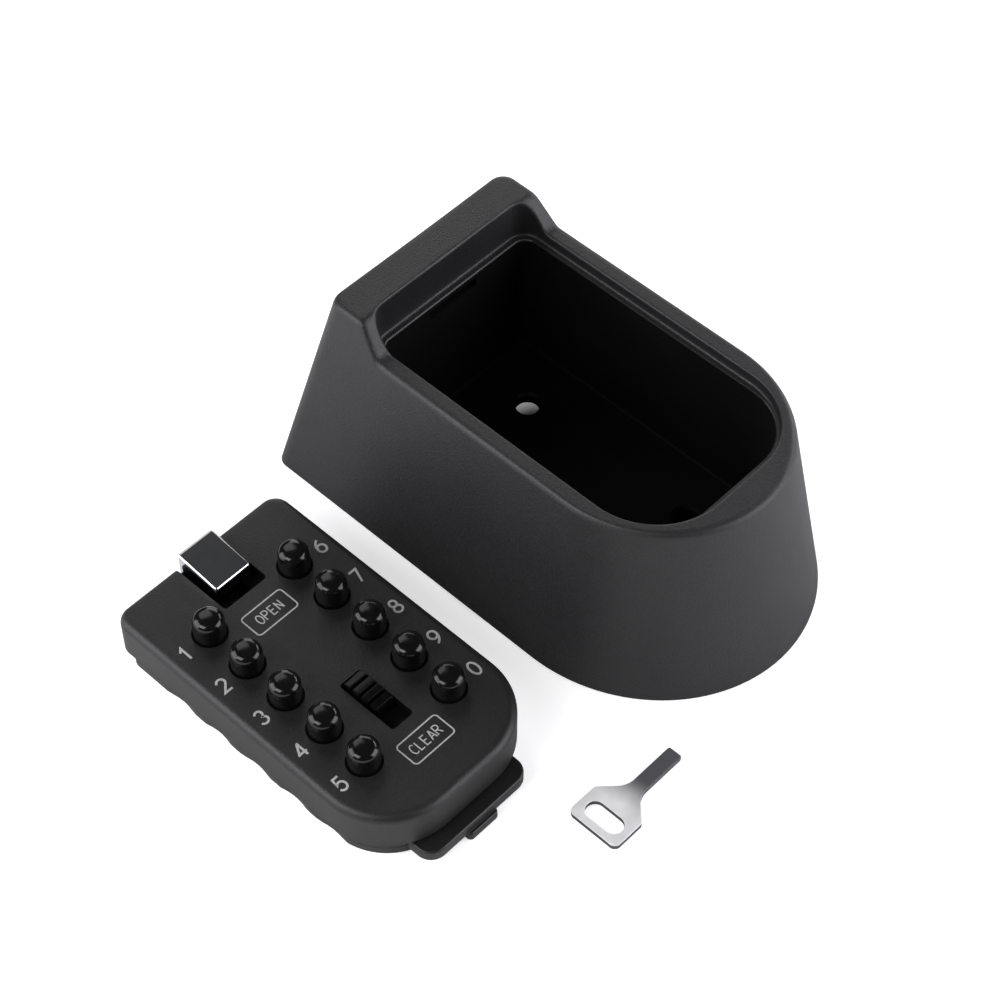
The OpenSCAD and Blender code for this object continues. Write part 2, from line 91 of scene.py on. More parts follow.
# %% [markdown]
# All finishes are node materials, so they hold at any distance and need no pictures. A few small
# helpers add a node and set its sockets by name, spread a value over a range, and make a noise or
# a bump. They keep the recipes below short enough to read as recipes.

# %% node helpers
def adder(tree):
    """A function that adds a node to the tree, sets its values by name and links its sockets."""
    def add(kind, links=(), **values):
        node = tree.nodes.new(kind)
        for key, value in values.items():
            if key in node.inputs:
                node.inputs[key].default_value = value
            else:
                setattr(node, key, value)
        for source, socket in links:
            tree.links.new(source, node.inputs[socket])
        return node

    add.link = tree.links.new
    return add


def new_finish(name):
    """An empty node material, with its adder and its shader."""
    finish = bpy.data.materials.new(name)
    finish.use_nodes = True
    return finish, adder(finish.node_tree), finish.node_tree.nodes["Principled BSDF"]


def two_tone(add, factor, dark, light, low=0.35, high=0.65):
    """A ramp from dark to light colour, driven by a 0 to 1 factor."""
    ramp = add("ShaderNodeValToRGB", links=[(factor, "Fac")])
    ramp.color_ramp.elements[0].position = low
    ramp.color_ramp.elements[1].position = high
    ramp.color_ramp.elements[0].color = (*dark, 1.0)
    ramp.color_ramp.elements[1].color = (*light, 1.0)
    return ramp.outputs["Color"]


def mapped(add, value, start=0.0, end=1.0, low=0.0, high=1.0, **how):
    """Maps a value between start and end to one between low and high."""
    ends = {"From Min": start, "From Max": end, "To Min": low, "To Max": high}
    return add("ShaderNodeMapRange", links=[(value, "Value")], **ends, **how).outputs["Result"]


def noise(add, where, scale, detail, **more):
    """A noise from 0 to 1 with about scale grains to the metre."""
    node = add("ShaderNodeTexNoise", links=[(where, "Vector")], Scale=scale, Detail=detail, **more)
    return node.outputs["Fac"]


def raise_bumps(add, shader, height, strength, distance):
    """Lets a height pattern tilt the surface."""
    bump = add("ShaderNodeBump", links=[(height, "Height")], Strength=strength, Distance=distance)
    add.link(bump.outputs["Normal"], shader.inputs["Normal"])


print("node helpers ready")

# %% [markdown]
# The shell and the lid are zinc castings under a satin powder coat. Close up, such a coat has a
# fine even grain, like orange peel a third of a millimetre across, and slow cloudy changes in
# gloss. Two noises give both. The grain goes to the bump and a little to the colour, and the
# clouds go to the roughness. The same recipe in a near-black tone is painted shade: it covers the
# cavity inside and the walls of the openings cut into the castings, where shade falls.

# %% powder coat
def powder_coat(name, dark, light, rough, grain, sheen=0.5):
    finish, add, shader = new_finish(name)
    where = add("ShaderNodeTexCoord").outputs["Object"]
    peel = noise(add, where, 2600.0, 3.0, Roughness=0.6)
    cloud = noise(add, where, 70.0, 2.0)
    add.link(two_tone(add, peel, dark, light), shader.inputs["Base Color"])
    add.link(mapped(add, cloud, low=rough[0], high=rough[1]), shader.inputs["Roughness"])
    raise_bumps(add, shader, peel, grain, 0.00009)
    shader.inputs["Specular IOR Level"].default_value = sheen
    return finish


shell_powder = powder_coat("shell_powder", (0.0065, 0.0065, 0.0070), (0.0115, 0.0115, 0.0125),
                           rough=(0.42, 0.54), grain=0.95)
lid_powder = powder_coat("lid_powder", (0.0050, 0.0050, 0.0049), (0.0085, 0.0085, 0.0083),
                         rough=(0.42, 0.52), grain=0.85)
# Painted shade: a near-black coat for the cavity and the cut openings, where shade falls.
painted_shade_powder = powder_coat("painted_shade_powder", (0.0010, 0.0010, 0.0010), (0.0022, 0.0022, 0.0022),
                           rough=(0.55, 0.70), grain=0.20, sheen=0.15)
plate_powder = powder_coat("plate_powder", (0.006, 0.006, 0.006), (0.011, 0.011, 0.011),
                           rough=(0.38, 0.50), grain=0.25)
print("powder coats made: shell, lid, inside, back plate")

# %% [markdown]
# Buttons and the clearing slide are glossy black plastic. A polished moulding is never one even
# tone: fine dust dulls it in patches and handling leaves faint marks, so the roughness varies a
# little and the surface waves very slightly, which bends the reflected softboxes.

# %% black plastic
def gloss_plastic(name, dark, light, rough, sheen):
    finish, add, shader = new_finish(name)
    where = add("ShaderNodeTexCoord").outputs["Object"]
    dust = noise(add, where, 900.0, 4.0)
    wave = noise(add, where, 220.0, 1.0)
    add.link(two_tone(add, dust, dark, light), shader.inputs["Base Color"])
    add.link(mapped(add, dust, low=rough[0], high=rough[1]), shader.inputs["Roughness"])
    raise_bumps(add, shader, wave, 0.04, 0.0002)
    shader.inputs["Specular IOR Level"].default_value = sheen
    return finish


button_black = gloss_plastic("button_black", (0.0030, 0.0030, 0.0030), (0.0045, 0.0045, 0.0045),
                             rough=(0.12, 0.17), sheen=0.36)
slide_black = gloss_plastic("slide_black", (0.0012, 0.0012, 0.0012), (0.0030, 0.0030, 0.0030),
                            rough=(0.22, 0.30), sheen=0.18)
print("plastics made: buttons, slide")

# %% [markdown]
# Metal shows its making. The opening cap is polished and plated, so it only has hairline
# scratches. The key and the inner plates are rolled or stamped steel with a grain drawn along
# one way: a noise stretched along that way gives it. The key was tumbled in stones, which leaves
# it satin: part of its light is scattered, so it is not fully metallic here. Brass pins are
# turned, so their grain is finer and runs round.

# %% metals
def drawn_metal(name, dark, light, rough, stretch, scratch, bare=1.0):
    finish, add, shader = new_finish(name)
    where = add("ShaderNodeTexCoord").outputs["Object"]
    along = add("ShaderNodeMapping", links=[(where, "Vector")], Scale=stretch)
    grain = noise(add, along.outputs["Vector"], 1.0, 4.0)
    cloud = noise(add, where, 160.0, 3.0)
    add.link(two_tone(add, cloud, dark, light), shader.inputs["Base Color"])
    add.link(mapped(add, grain, low=rough[0], high=rough[1]), shader.inputs["Roughness"])
    raise_bumps(add, shader, grain, scratch, 0.00003)
    shader.inputs["Metallic"].default_value = bare
    return finish


cap_chrome = drawn_metal("cap_chrome", (0.60, 0.61, 0.64), (0.70, 0.71, 0.73),
                         rough=(0.05, 0.11), stretch=(900, 300, 900), scratch=0.05)
tumbled_steel = drawn_metal("tumbled_steel", (0.74, 0.74, 0.74), (0.92, 0.92, 0.91),
                            rough=(0.45, 0.60), stretch=(260, 3600, 3600), scratch=0.25, bare=0.30)
# Its roughness is the dull sheared edge; its dark colour is painted shade along the key's edge.
sheared_steel_painted_shade = drawn_metal("sheared_steel_painted_shade", (0.10, 0.10, 0.10), (0.18, 0.18, 0.18),
                            rough=(0.50, 0.65), stretch=(3600, 3600, 400), scratch=0.30)
plate_steel = drawn_metal("plate_steel", (0.42, 0.42, 0.43), (0.55, 0.55, 0.56),
                          rough=(0.28, 0.45), stretch=(3200, 240, 3200), scratch=0.25)
wire_steel = drawn_metal("wire_steel", (0.45, 0.45, 0.46), (0.58, 0.58, 0.60),
                         rough=(0.22, 0.36), stretch=(1500, 1500, 1500), scratch=0.15)
pin_brass = drawn_metal("pin_brass", (0.55, 0.40, 0.16), (0.70, 0.54, 0.26),
                        rough=(0.22, 0.36), stretch=(400, 400, 4000), scratch=0.20)
print("metals made: chrome cap, key and its edge, plates, wire, pins")

# %% [markdown]
# The key's blade is darker than its bow, and the change lies at the neck. A ramp along the
# key's length lays a darker tone over the steel recipe made above.

# %% darker blade
MIX_BELOW, MIX_ABOVE, MIX_RESULT = 6, 7, 2  # the mix node's colour sockets


def reopen(finish):
    """The adder and the shader of a finish made before, and the colour that it has now."""
    shader = finish.node_tree.nodes["Principled BSDF"]
    return adder(finish.node_tree), shader, shader.inputs["Base Color"].links[0].from_socket


def lay_over(add, shader, below, tone, share):
    """Lays a tone over the colour below, as much as share says from 0 to 1."""
    mix = add("ShaderNodeMix", data_type="RGBA", links=[(share, "Factor"), (below, MIX_BELOW)])
    mix.inputs[MIX_ABOVE].default_value = (*tone, 1.0)
    add.link(mix.outputs[MIX_RESULT], shader.inputs["Base Color"])


def darken_blade(finish, start, end, blade_tone):
    add, shader, bright = reopen(finish)
    place = add("ShaderNodeTexCoord").outputs["Object"]
    along = add("ShaderNodeSeparateXYZ", links=[(place, "Vector")]).outputs["X"]
    share = mapped(add, along, start, end, interpolation_type="SMOOTHSTEP")
    lay_over(add, shader, bright, blade_tone, share)


darken_blade(tumbled_steel, -0.0465, -0.0385, (0.090, 0.091, 0.097))
print("blade darkened")

# %% [markdown]
# The back plate's coat is made paler along its edges, with a grey laid over it there. The bevel
# node gives the direction a rounded edge would have: where it turns away from the face's own
# direction, there is an edge. A noise breaks the line up, so it is not even.

# %% pale edges
def pale_edges(finish, reach, bare, amount):
    add, shader, coat = reopen(finish)
    soft = add("ShaderNodeBevel", samples=6, Radius=reach)
    own = add("ShaderNodeNewGeometry")
    turn = add("ShaderNodeVectorMath", operation="DOT_PRODUCT",
               links=[(soft.outputs["Normal"], 0), (own.outputs["True Normal"], 1)])
    edge = mapped(add, turn.outputs["Value"], 0.985, 0.88)
    patch = add("ShaderNodeTexNoise", Scale=700.0)
    uneven = mapped(add, patch.outputs["Fac"], 0.35, 0.7, high=amount)
    share = add("ShaderNodeMath", operation="MULTIPLY", links=[(edge, 0), (uneven, 1)])
    lay_over(add, shader, coat, bare, share.outputs["Value"])


pale_edges(plate_powder, 0.0004, (0.16, 0.16, 0.16), 0.9)
print("plate edges worn")

# %% [markdown]
# Digits, words and their frames are printed on the lid in a pale grey ink. Pad-printed ink is
# thin and a little patchy, so its tone comes from a fine noise too.

# %% ink
def print_ink(name, dark, light):
    finish, add, shader = new_finish(name)
    where = add("ShaderNodeTexCoord").outputs["Object"]
    patch = noise(add, where, 3200.0, 3.0)
    add.link(two_tone(add, patch, dark, light, 0.3, 0.6), shader.inputs["Base Color"])
    add.link(mapped(add, patch, low=0.45, high=0.65), shader.inputs["Roughness"])
    return finish


lid_ink = print_ink("lid_ink", (0.30, 0.30, 0.29), (0.46, 0.46, 0.45))
print("ink made")

# %% [markdown]
# Castings like these are smooth walls that turn into each other over soft edges. A box with a
# bevel modifier would break up where the brow meets the rim, so each casting is a stack of
# rings instead: every ring has the same number of points, counted from the middle of the flat
# end round to the round end, and neighbouring rings are joined by quads. Two helpers give the
# rings: one for a rectangle with different corners at each end, one for the shell's outside.

# %% ring outlines
COUNTS = (12, 8, 16, 40, 30)  # steps on the flat end, its corner, the shoulder, the side, the round end
RIM, BROW = 41.0, 47.4
BASE_HALF, RIM_HALF = 32.5, 24.9
BASE_END, BROW_END, RIM_END = 52.5, 43.0, 44.4
CORNER, SHOULDER, ROUND_FROM = 3.0, 31.0, -18.0
SIDE_EASE = 1.5


def arc(cx, cy, rx, ry, start, end, n):
    """n points on an oval arc between two angles in degrees, without the first."""
    t = np.radians(np.linspace(start, end, n + 1)[1:])
    return np.stack([cx + rx * np.cos(t), cy + ry * np.sin(t)], 1)


def line(a, b, n, ease=1.0):
    """n points from a to b, without the first. An ease above 1 sets them closer near a."""
    t = np.linspace(0, 1, n + 1)[1:, None] ** ease
    return np.array(a) * (1 - t) + np.array(b) * t


def whole(half):
    """Mirrors a right half, drawn from the flat end's middle to the round end's, into a closed ring."""
    left = half[1:-1][::-1] * np.array([-1, 1])
    return np.concatenate([half, left])


def rounded_ring(w, low, high, r_low, r_high, ease=1.0):
    """Rectangle w wide between low and high, with its own corner radius at each end."""
    n_top, n_corner, n_shoulder, n_side, n_end = COUNTS
    h = w / 2
    turn = math.pi / 2 * r_low
    n_arc = max(4, min(n_end - 2, round(n_end * turn / (turn + h - r_low))))
    half = np.concatenate([
        [[0.0, high]],
        line((0, high), (h - r_high, high), n_top + n_corner),
        arc(h - r_high, high - r_high, r_high, r_high, 90, 0, n_shoulder),
        line((h, high - r_high), (h, low + r_low), n_side, ease),
        arc(h - r_low, low + r_low, r_low, r_low, 0, -90, n_arc),
        line((h - r_low, low), (0, low), n_end - n_arc),
    ])
    return whole(half)


def shell_ring(z):
    """The shell's tapered outside at height z."""
    n_top, n_corner, n_shoulder, n_side, n_end = COUNTS
    h = BASE_HALF - (BASE_HALF - RIM_HALF) / RIM * z
    far = BASE_END - (BASE_END - BROW_END) / BROW * z
    near = BASE_END - (BASE_END - RIM_END) / RIM * z
    half = np.concatenate([
        [[0.0, far]],
        line((0, far), (h - CORNER, far), n_top),
        arc(h - CORNER, far - CORNER, CORNER, CORNER, 90, 0, n_corner),
        line((h, far - CORNER), (h, SHOULDER), n_shoulder),
        line((h, SHOULDER), (h, ROUND_FROM), n_side, SIDE_EASE),
        arc(0, ROUND_FROM, h, near + ROUND_FROM, 0, -90, n_end),
    ])
    return whole(half)


print("points in a ring:", len(shell_ring(0)), len(rounded_ring(40, -35, 33, 11, 3)))

# %% [markdown]
# A few makers are shared by all pieces: rings to a closed mesh, a lathe, a block for cutting, and
# a cut that takes a tool shape away. Cuts are applied at once, so the finished piece is a plain
# mesh with sharp edges only where the real one has them. Weighted normals keep flat faces flat
# beside rounded edges.

# %% mesh makers
def piece_from(name, verts, faces, finishes, marks=None):
    """A mesh object from millimetre points. marks gives each face's finish."""
    data = bpy.data.meshes.new(name)
    data.from_pydata([tuple(c * MM for c in v) for v in verts], [], faces)
    for finish in finishes:
        data.materials.append(finish)
    if marks is not None:
        data.polygons.foreach_set("material_index", marks)
    made = bmesh.new()
    made.from_mesh(data)
    bmesh.ops.recalc_face_normals(made, faces=made.faces)
    made.to_mesh(data)
    made.free()
    thing = bpy.data.objects.new(name, data)
    bpy.context.scene.collection.objects.link(thing)
    return thing


def from_rings(name, rings, finishes, ring_marks=None):
    """Joins rings of 3-D points by quads and closes both ends."""
    n = len(rings[0])
    verts = [tuple(p) for ring in rings for p in ring]
    faces, marks = [], []
    for k in range(len(rings) - 1):
        for i in range(n):
            j = (i + 1) % n
            faces.append((k * n + i, k * n + j, (k + 1) * n + j, (k + 1) * n + i))
            marks.append(ring_marks[k] if ring_marks else 0)
    faces.append(tuple(range(n)))
    marks.append(ring_marks[0] if ring_marks else 0)
    faces.append(tuple(range((len(rings) - 1) * n, len(rings) * n)))
    marks.append(ring_marks[-1] if ring_marks else 0)
    return piece_from(name, verts, faces, finishes, marks)


def flat(ring, z):
    """A ring of plan points at one height."""
    return np.column_stack([ring, np.full(len(ring), z)])


def bake(thing):
    """Replaces the mesh by what its modifiers make of it."""
    done = bpy.data.meshes.new_from_object(thing.evaluated_get(bpy.context.evaluated_depsgraph_get()))
    thing.modifiers.clear()
    thing.data = done
    return thing


def shape(thing, tool, how="DIFFERENCE"):
    """Cuts or adds a tool shape, then throws the tool away."""
    step = thing.modifiers.new("shape", "BOOLEAN")
    step.operation = how
    step.solver = "EXACT"
    step.material_mode = "TRANSFER"
    step.object = tool
    bpy.context.view_layer.update()
    bake(thing)
    bpy.data.objects.remove(tool)
    return thing


def finish_edges(thing, angle=32):
    """Smooth shading that breaks at sharp edges and keeps flats flat."""
    data = thing.data
    data.polygons.foreach_set("use_smooth", [True] * len(data.polygons))
    data.set_sharp_from_angle(angle=math.radians(angle))
    weigh = thing.modifiers.new("even_flats", "WEIGHTED_NORMAL")
    weigh.keep_sharp = True
    return thing


def block(name, low, high, finish):
    """A plain cutting block between two corners."""
    (x0, y0, z0), (x1, y1, z1) = low, high
    verts = [(x, y, z) for z in (z0, z1) for x, y in ((x0, y0), (x1, y0), (x1, y1), (x0, y1))]
    faces = [(3, 2, 1, 0), (4, 5, 6, 7), (0, 1, 5, 4), (1, 2, 6, 5), (2, 3, 7, 6), (3, 0, 4, 7)]
    return piece_from(name, verts, faces, [finish])


def turned(name, profile, x, y, finish, n=48):
    """A lathe shape about an upright axis at x, y from (radius, height) pairs, closed at both ends."""
    t = np.linspace(0, 2 * math.pi, n, endpoint=False)
    rings = [np.column_stack([x + r * np.cos(t), y + r * np.sin(t), np.full(n, z)]) for r, z in profile]
    return from_rings(name, rings, [finish])


print("mesh makers ready")

# %% [markdown]
# The shell. Its side view is a level rim that rises in a soft S to the brow, so the height of
# the top depends only on how far along the shell a point lies. From the outside in, the rings
# climb the leaning wall, roll over the rim, drop into the lid's recess, step across the ledge
# and go down the cavity to its floor. The cavity's near-black coat is painted shade.

# %% shell casting
FOOT, FLAT, BLEND = 28.5, 35.0, 0.26
LEDGE, FLOOR = 38.5, 8.4
ROLL_OUT, ROLL_IN = 1.35, 0.7
LEVELS = 96


def top_height(y):
    """Level rim, short blend, straight ramp, short blend, level brow."""
    t = np.clip((y - FOOT) / (FLAT - FOOT), 0, 1)
    rise = np.minimum(t, 1 - t)
    rise = np.where(rise < BLEND, rise ** 2 / (2 * BLEND), rise - BLEND / 2) / (1 - BLEND)
    return RIM + (BROW - RIM) * np.where(t < 0.5, rise, 1 - rise)


def bend(a, corner, b, steps):
    """Points on a soft turn from a to b, pulled towards the corner."""
    t = np.linspace(0, 1, steps + 1)[:, None, None]
    return list(a * (1 - t) ** 2 + corner * 2 * t * (1 - t) + b * t ** 2)


recess = rounded_ring(42.6, -38.0, 35.0, 15.0, 4.0, SIDE_EASE)
hollow = rounded_ring(40.0, -36.5, 33.5, 11.7, 2.7, SIDE_EASE)
levels = np.stack([shell_ring(z) for z in np.linspace(0, BROW, LEVELS)])


def wall_point(z):
    """Outside points, each at its own height."""
    f = np.clip(z / BROW, 0, 1) * (LEVELS - 1)
    k = np.minimum(f.astype(int), LEVELS - 2)
    i = np.arange(len(z))
    w = (f - k)[:, None]
    return np.column_stack([levels[k, i] * (1 - w) + levels[k + 1, i] * w, z])


rim_z = top_height(shell_ring(44.0)[:, 1])
rim_z = top_height(wall_point(rim_z)[:, 1])
corner = wall_point(rim_z)
inward = recess - corner[:, :2]
span = np.linalg.norm(inward, axis=1, keepdims=True)
inward = inward / span


def on_top(distance):
    """Points on the top face, a distance in from the outer corner."""
    plan = corner[:, :2] + inward * distance
    return np.column_stack([plan, top_height(plan[:, 1])])


roll_in = np.full((len(corner), 1), ROLL_IN)
recess_top = np.column_stack([recess, top_height(recess[:, 1])])
below_recess = recess_top - np.column_stack([np.zeros_like(recess), roll_in])
rings = [flat(shell_ring(0) * 0.992, 0.0), flat(shell_ring(0.35), 0.35)]
rings += [wall_point((rim_z - ROLL_OUT) * f) for f in np.linspace(0.04, 0.96, 8)]
rings += bend(wall_point(rim_z - ROLL_OUT), corner, on_top(ROLL_OUT), 7)
rings += [on_top(ROLL_OUT + (span - roll_in - ROLL_OUT) * f) for f in np.linspace(0.06, 0.94, 7)]
rings += bend(on_top(span - roll_in), recess_top, below_recess, 5)
foot = recess + (hollow - recess) * 0.4
rings += bend(flat(recess, LEDGE + 0.7), flat(recess, LEDGE), flat(foot, LEDGE), 4)
rings += [flat(hollow * 1.006, LEDGE), flat(hollow, LEDGE - 0.25)]
outer_count = len(rings) - 1
rings += [flat(hollow, z) for z in (30.0, 20.0, FLOOR + 1.2)]
rings += [flat(hollow * 0.985, FLOOR + 0.3), flat(hollow * 0.955, FLOOR)]
# The cavity's rings take the second finish, the painted shade coat.
marks = [0] * outer_count + [1] * (len(rings) - 1 - outer_count)
shell = from_rings("shell_casting", rings, [shell_powder, painted_shade_powder], marks)
print("shell rings", len(rings), "faces", len(shell.data.polygons))

# %% [markdown]
# The shell's openings are cut with tool shapes: four wall screw holes with a small flare, the
# slot that takes the bolt under the brow, the pocket that takes the tongue under the round end's
# rim, and the shallow relief in the back that lets it sit flat on a rough wall. White shows
# through one of the holes in the photograph, so the floor is thin there: the back is hollowed to
# a cone behind that hole, as a casting is where it would be too thick.

# %% shell openings
HOLES = [(8, 21), (-8, 21), (8, -21), (-8, -21)]
HOLE = [(2.5, -2), (2.5, FLOOR + 1)]
FLARE = [(2.4, FLOOR - 0.7), (3.3, FLOOR + 0.2), (3.3, FLOOR + 1)]
# The cutting tools below carry the painted shade coat onto the walls they cut.
for x, y in HOLES:
    shape(shell, turned("hole", HOLE, x, y, painted_shade_powder, 32))
    shape(shell, turned("flare", FLARE, x, y, painted_shade_powder, 32))
shape(shell, block("bolt_slot", (-6.4, 20, 34.9), (6.4, 37.6, 37.1), painted_shade_powder))
pocket = np.array([(-13.4, -20), (-13.4, -38.2), (-10.9, -40.7),
                   (10.9, -40.7), (13.4, -38.2), (13.4, -20)])
shape(shell, from_rings("tongue_pocket", [flat(pocket, 32.8), flat(pocket, 38.0)], [painted_shade_powder]))
sunk = rounded_ring(51.0, -41.5, 45.5, 22.0, 4.0)
relief = from_rings("relief", [flat(sunk, z) for z in (-1.0, 1.2)], [shell_powder])
shape(relief, block("rib", (-40, -2, -2), (40, 2, 3), shell_powder))
for x, y in HOLES:
    shape(relief, turned("land", [(5.1, -2), (5.1, 3)], x, y, shell_powder, 40))
shape(shell, relief)
THIN, LEAN = 2.6, 0.84
cone = [(2.45 + LEAN * (FLOOR - THIN - z), z) for z in (-1.0, FLOOR - THIN)]
shape(shell, turned("back_cone", cone, *HOLES[0], shell_powder))
finish_edges(shell)
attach(shell, "shell")
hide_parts("shell")
print("shell cut, faces", len(shell.data.polygons))

# %% [markdown]
# The lid's front casting: a flange with a softly rounded face edge over a smaller plug, hollow
# behind. It lies on its back beside the shell, so its own middle is kept in two values and all
# its pieces are placed from them.

# %% lid casting
LID_X, LID_Y = -65.6, 2.0
FACE, UNDER, PLUG_TOP, BACK = 14.0, 11.5, 5.1, 1.8
EDGE, SCALLOP, ROW_PITCH, COLUMN = 1.7, 0.5, 10.1, 10.75


def on_lid(ring, z):
    """A ring about the lid's middle, at one height."""
    return flat(ring + np.array([LID_X, LID_Y]), z)


def lid_block(name, half, along, heights, finish):
    """A block astride the lid's middle line."""
    (low, high), (bottom, top) = along, heights
    return block(name, (LID_X - half, LID_Y + low, bottom), (LID_X + half, LID_Y + high, top), finish)


def lid_ring(inset):
    """The flange's outline, drawn in by an inset."""
    return rounded_ring(41.6 - 2 * inset, -36.1 + inset, 36.1 - inset, 14.5 - inset, 3.5 - inset)


def plug_ring(inset):
    """The plug's outline, hollowed a little beside each row of buttons."""
    ring = rounded_ring(39.0 - 2 * inset, -34.5 + inset, 34.5 - inset, 13.3 - inset, 2.3 - inset)
    for row in range(-2, 3):
        hollow_in = np.maximum(SCALLOP - (ring[:, 1] - ROW_PITCH * row) ** 2 / 24, 0)
        ring[:, 0] -= np.sign(ring[:, 0]) * np.where(np.abs(ring[:, 0]) > 15, hollow_in, 0)
    return ring


inside = rounded_ring(35.0, -32.5, 32.5, 9.3, 0.3)
plug, flange = plug_ring(0.0), lid_ring(0.0)
rings = [on_lid(inside, UNDER), on_lid(inside, BACK), on_lid(plug_ring(0.2), BACK)]
rings += [on_lid(plug, BACK + 0.2), on_lid(plug, PLUG_TOP), on_lid(lid_ring(0.35), PLUG_TOP)]
rings += [on_lid(flange, z) for z in (PLUG_TOP + 0.35, 9.0, FACE - EDGE)]
for turn in np.linspace(0, 90, 8)[1:]:
    t = math.radians(turn)
    rings.append(on_lid(lid_ring(EDGE * (1 - math.cos(t))), FACE - EDGE * (1 - math.sin(t))))
rings.append(on_lid(lid_ring(EDGE + 0.5), FACE))
lid = from_rings("lid_casting", rings, [lid_powder])
shape(lid, lid_block("well_floor", 6.4, (20.9, 33.2), (9.4, 12.5), lid_powder), "UNION")
print("lid rings", len(rings))

# %% [markdown]
# Holes in the lid: one for each button, flared a little at the face, the well for the opening
# slide that runs out through the top end, the slot for the clearing slide, and the ways out for
# the bolt and the tongue below the flange.

# %% lid openings
ROWS = [LID_Y + ROW_PITCH * (2 - k) for k in range(5)]
COLUMNS = (LID_X - COLUMN, LID_X + COLUMN)
DIGITS = {}
for k in range(5):
    DIGITS[str(k + 1)] = (COLUMNS[0], ROWS[k])
    DIGITS[str((k + 6) % 10)] = (COLUMNS[1], ROWS[k])
BORE = [(3.25, 10), (3.25, FACE - 0.25), (3.55, FACE + 0.03), (3.55, FACE + 2)]
for x, y in DIGITS.values():
    shape(lid, turned("bore", BORE, x, y, lid_powder))
# The well, the slot and the ways below take the painted shade coat from their tools.
well = rounded_ring(10.6, LID_Y + 21.9, LID_Y + 50, 0.8, 0.8) + np.array([LID_X, 0.0])
shape(lid, from_rings("well", [flat(well, 10.9), flat(well, 20.0)], [painted_shade_powder]))
shape(lid, lid_block("stem_way", 2.9, (23.6, 31.6), (8, 11.5), painted_shade_powder))
clear_way = rounded_ring(5.3, LID_Y - 19.3, LID_Y - 5.5, 0.7, 0.7) + np.array([LID_X, 0.0])
shape(lid, from_rings("clear_way", [flat(clear_way, 10.0), flat(clear_way, 20.0)], [painted_shade_powder]))
shape(lid, lid_block("bolt_way", 6.4, (0, 50), (0, 3.8), painted_shade_powder))
shape(lid, lid_block("tongue_way", 13.1, (-60, -30.1), (0, 4.3), painted_shade_powder))
finish_edges(lid)
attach(lid, "lid")
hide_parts("lid_front")
print("lid cut, faces", len(lid.data.polygons))

# %% [markdown]
# The back plate closes the lid from behind. It is a second casting: a plate with the plug's own
# outline, a wide tongue above it that hooks under the shell's rim, and a narrower lip below the
# tongue. Its edges rub on the shell each time the lid goes on, so they are well rounded here, and
# their coat is made paler along them. The code pins are reached through ten holes, and four screws
# sit in recesses.

# %% back plate
TONGUE_TOP, TONGUE_END, LIP_END = 4.2, -38.8, -39.6
SCREWS = [(LID_X + x, LID_Y + y)
          for x, y in ((-14.2, 29.6), (14.2, 29.6), (-5.6, -30.4), (5.6, -30.4))]
PLATE_EDGE = ((0.25, 0.0), (0.07, 0.07), (0.0, 0.25), (0.0, BACK))
PILLAR = [(2.0, 1.0), (2.0, 5.0)]
SCREW_WAY = [(2.35, -1.0), (2.35, 2.1), (1.3, 2.1), (1.3, 6.0)]
PIN_WAY = [(2.45, -0.5), (2.45, 0.0), (2.2, 0.25), (2.2, 3.0)]


def pillow(name, w, low, high, r, bottom, top, soft, finish):
    """A flat bar with round corners whose upper and lower edges are softened."""
    def layer(inset, z):
        ring = rounded_ring(w - 2 * inset, low + inset, high - inset, r - inset, 0.9 - inset)
        return on_lid(ring, z)

    turns = [math.radians(turn) for turn in np.linspace(0, 90, 5)]
    rings = [layer(soft * (1 - math.sin(t)), bottom + soft * (1 - math.cos(t))) for t in turns]
    rings += [layer(soft * (1 - math.cos(t)), top - soft * (1 - math.sin(t))) for t in turns]
    return from_rings(name, rings, [finish])


rings = [on_lid(plug_ring(inset), z) for inset, z in PLATE_EDGE]
plate = from_rings("back_plate", rings, [plate_powder])
tongue = pillow("tongue", 26.0, TONGUE_END, -31.5, 3.4, BACK - 0.35, TONGUE_TOP, 0.45, plate_powder)
shape(plate, tongue, "UNION")
lip = pillow("lip", 7.5, LIP_END, -32.5, 0.9, 0.0, BACK + 0.3, 0.35, plate_powder)
shape(plate, lip, "UNION")
for x, y in SCREWS:
    shape(plate, turned("pillar", PILLAR, x, y, plate_powder, 32), "UNION")
for x, y in SCREWS:
    shape(plate, turned("screw_way", SCREW_WAY, x, y, plate_powder, 40))
for x, y in DIGITS.values():
    shape(plate, turned("pin_way", PIN_WAY, x, y, plate_powder, 40))
finish_edges(plate)
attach(plate, "lid")
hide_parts("lid_back")
print("back plate faces", len(plate.data.polygons))

# %% [markdown]
# Buttons are turned shapes: a collar that stops under the face, a body with a little draft, as a
# mould needs, and a full, rounded top. A lathe of one profile gives all ten. The crown is a little
# fuller than a ball, which is what makes the bars of light on its shoulder.

# %% buttons
CROWN_R, CROWN_LOW, CROWN_H, FULLNESS = 3.08, 17.0, 2.4, 0.68
COLLAR_AND_BODY = [(1.6, 10.3), (4.2, 10.3), (4.2, 11.45), (3.15, 11.45), (3.15, 14.6)]


def button_profile():
    """Collar, drafted body and crown, as (radius, height) pairs."""
    body = COLLAR_AND_BODY + [(CROWN_R, CROWN_LOW)]
    for turn in np.linspace(0, 90, 16)[1:-1]:
        t = math.radians(turn)
        body.append((CROWN_R * math.cos(t) ** FULLNESS, CROWN_LOW + CROWN_H * math.sin(t) ** FULLNESS))
    return body + [(0.05, CROWN_LOW + CROWN_H)]


for digit, (x, y) in DIGITS.items():
    button = turned("button_cap_" + digit, button_profile(), x, y, button_black)
    finish_edges(button, 40)
    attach(button, "button_" + digit)
    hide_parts("button_" + digit)
print("buttons made", len(DIGITS))

# %% [markdown]
# The opening slide is a plated block with crisp rounded edges on a stem. The bevel modifier is
# right here, because a block has only plain edges: the narrow rounded strips catch the light and
# draw the bright lines round the dark mirror of its top.

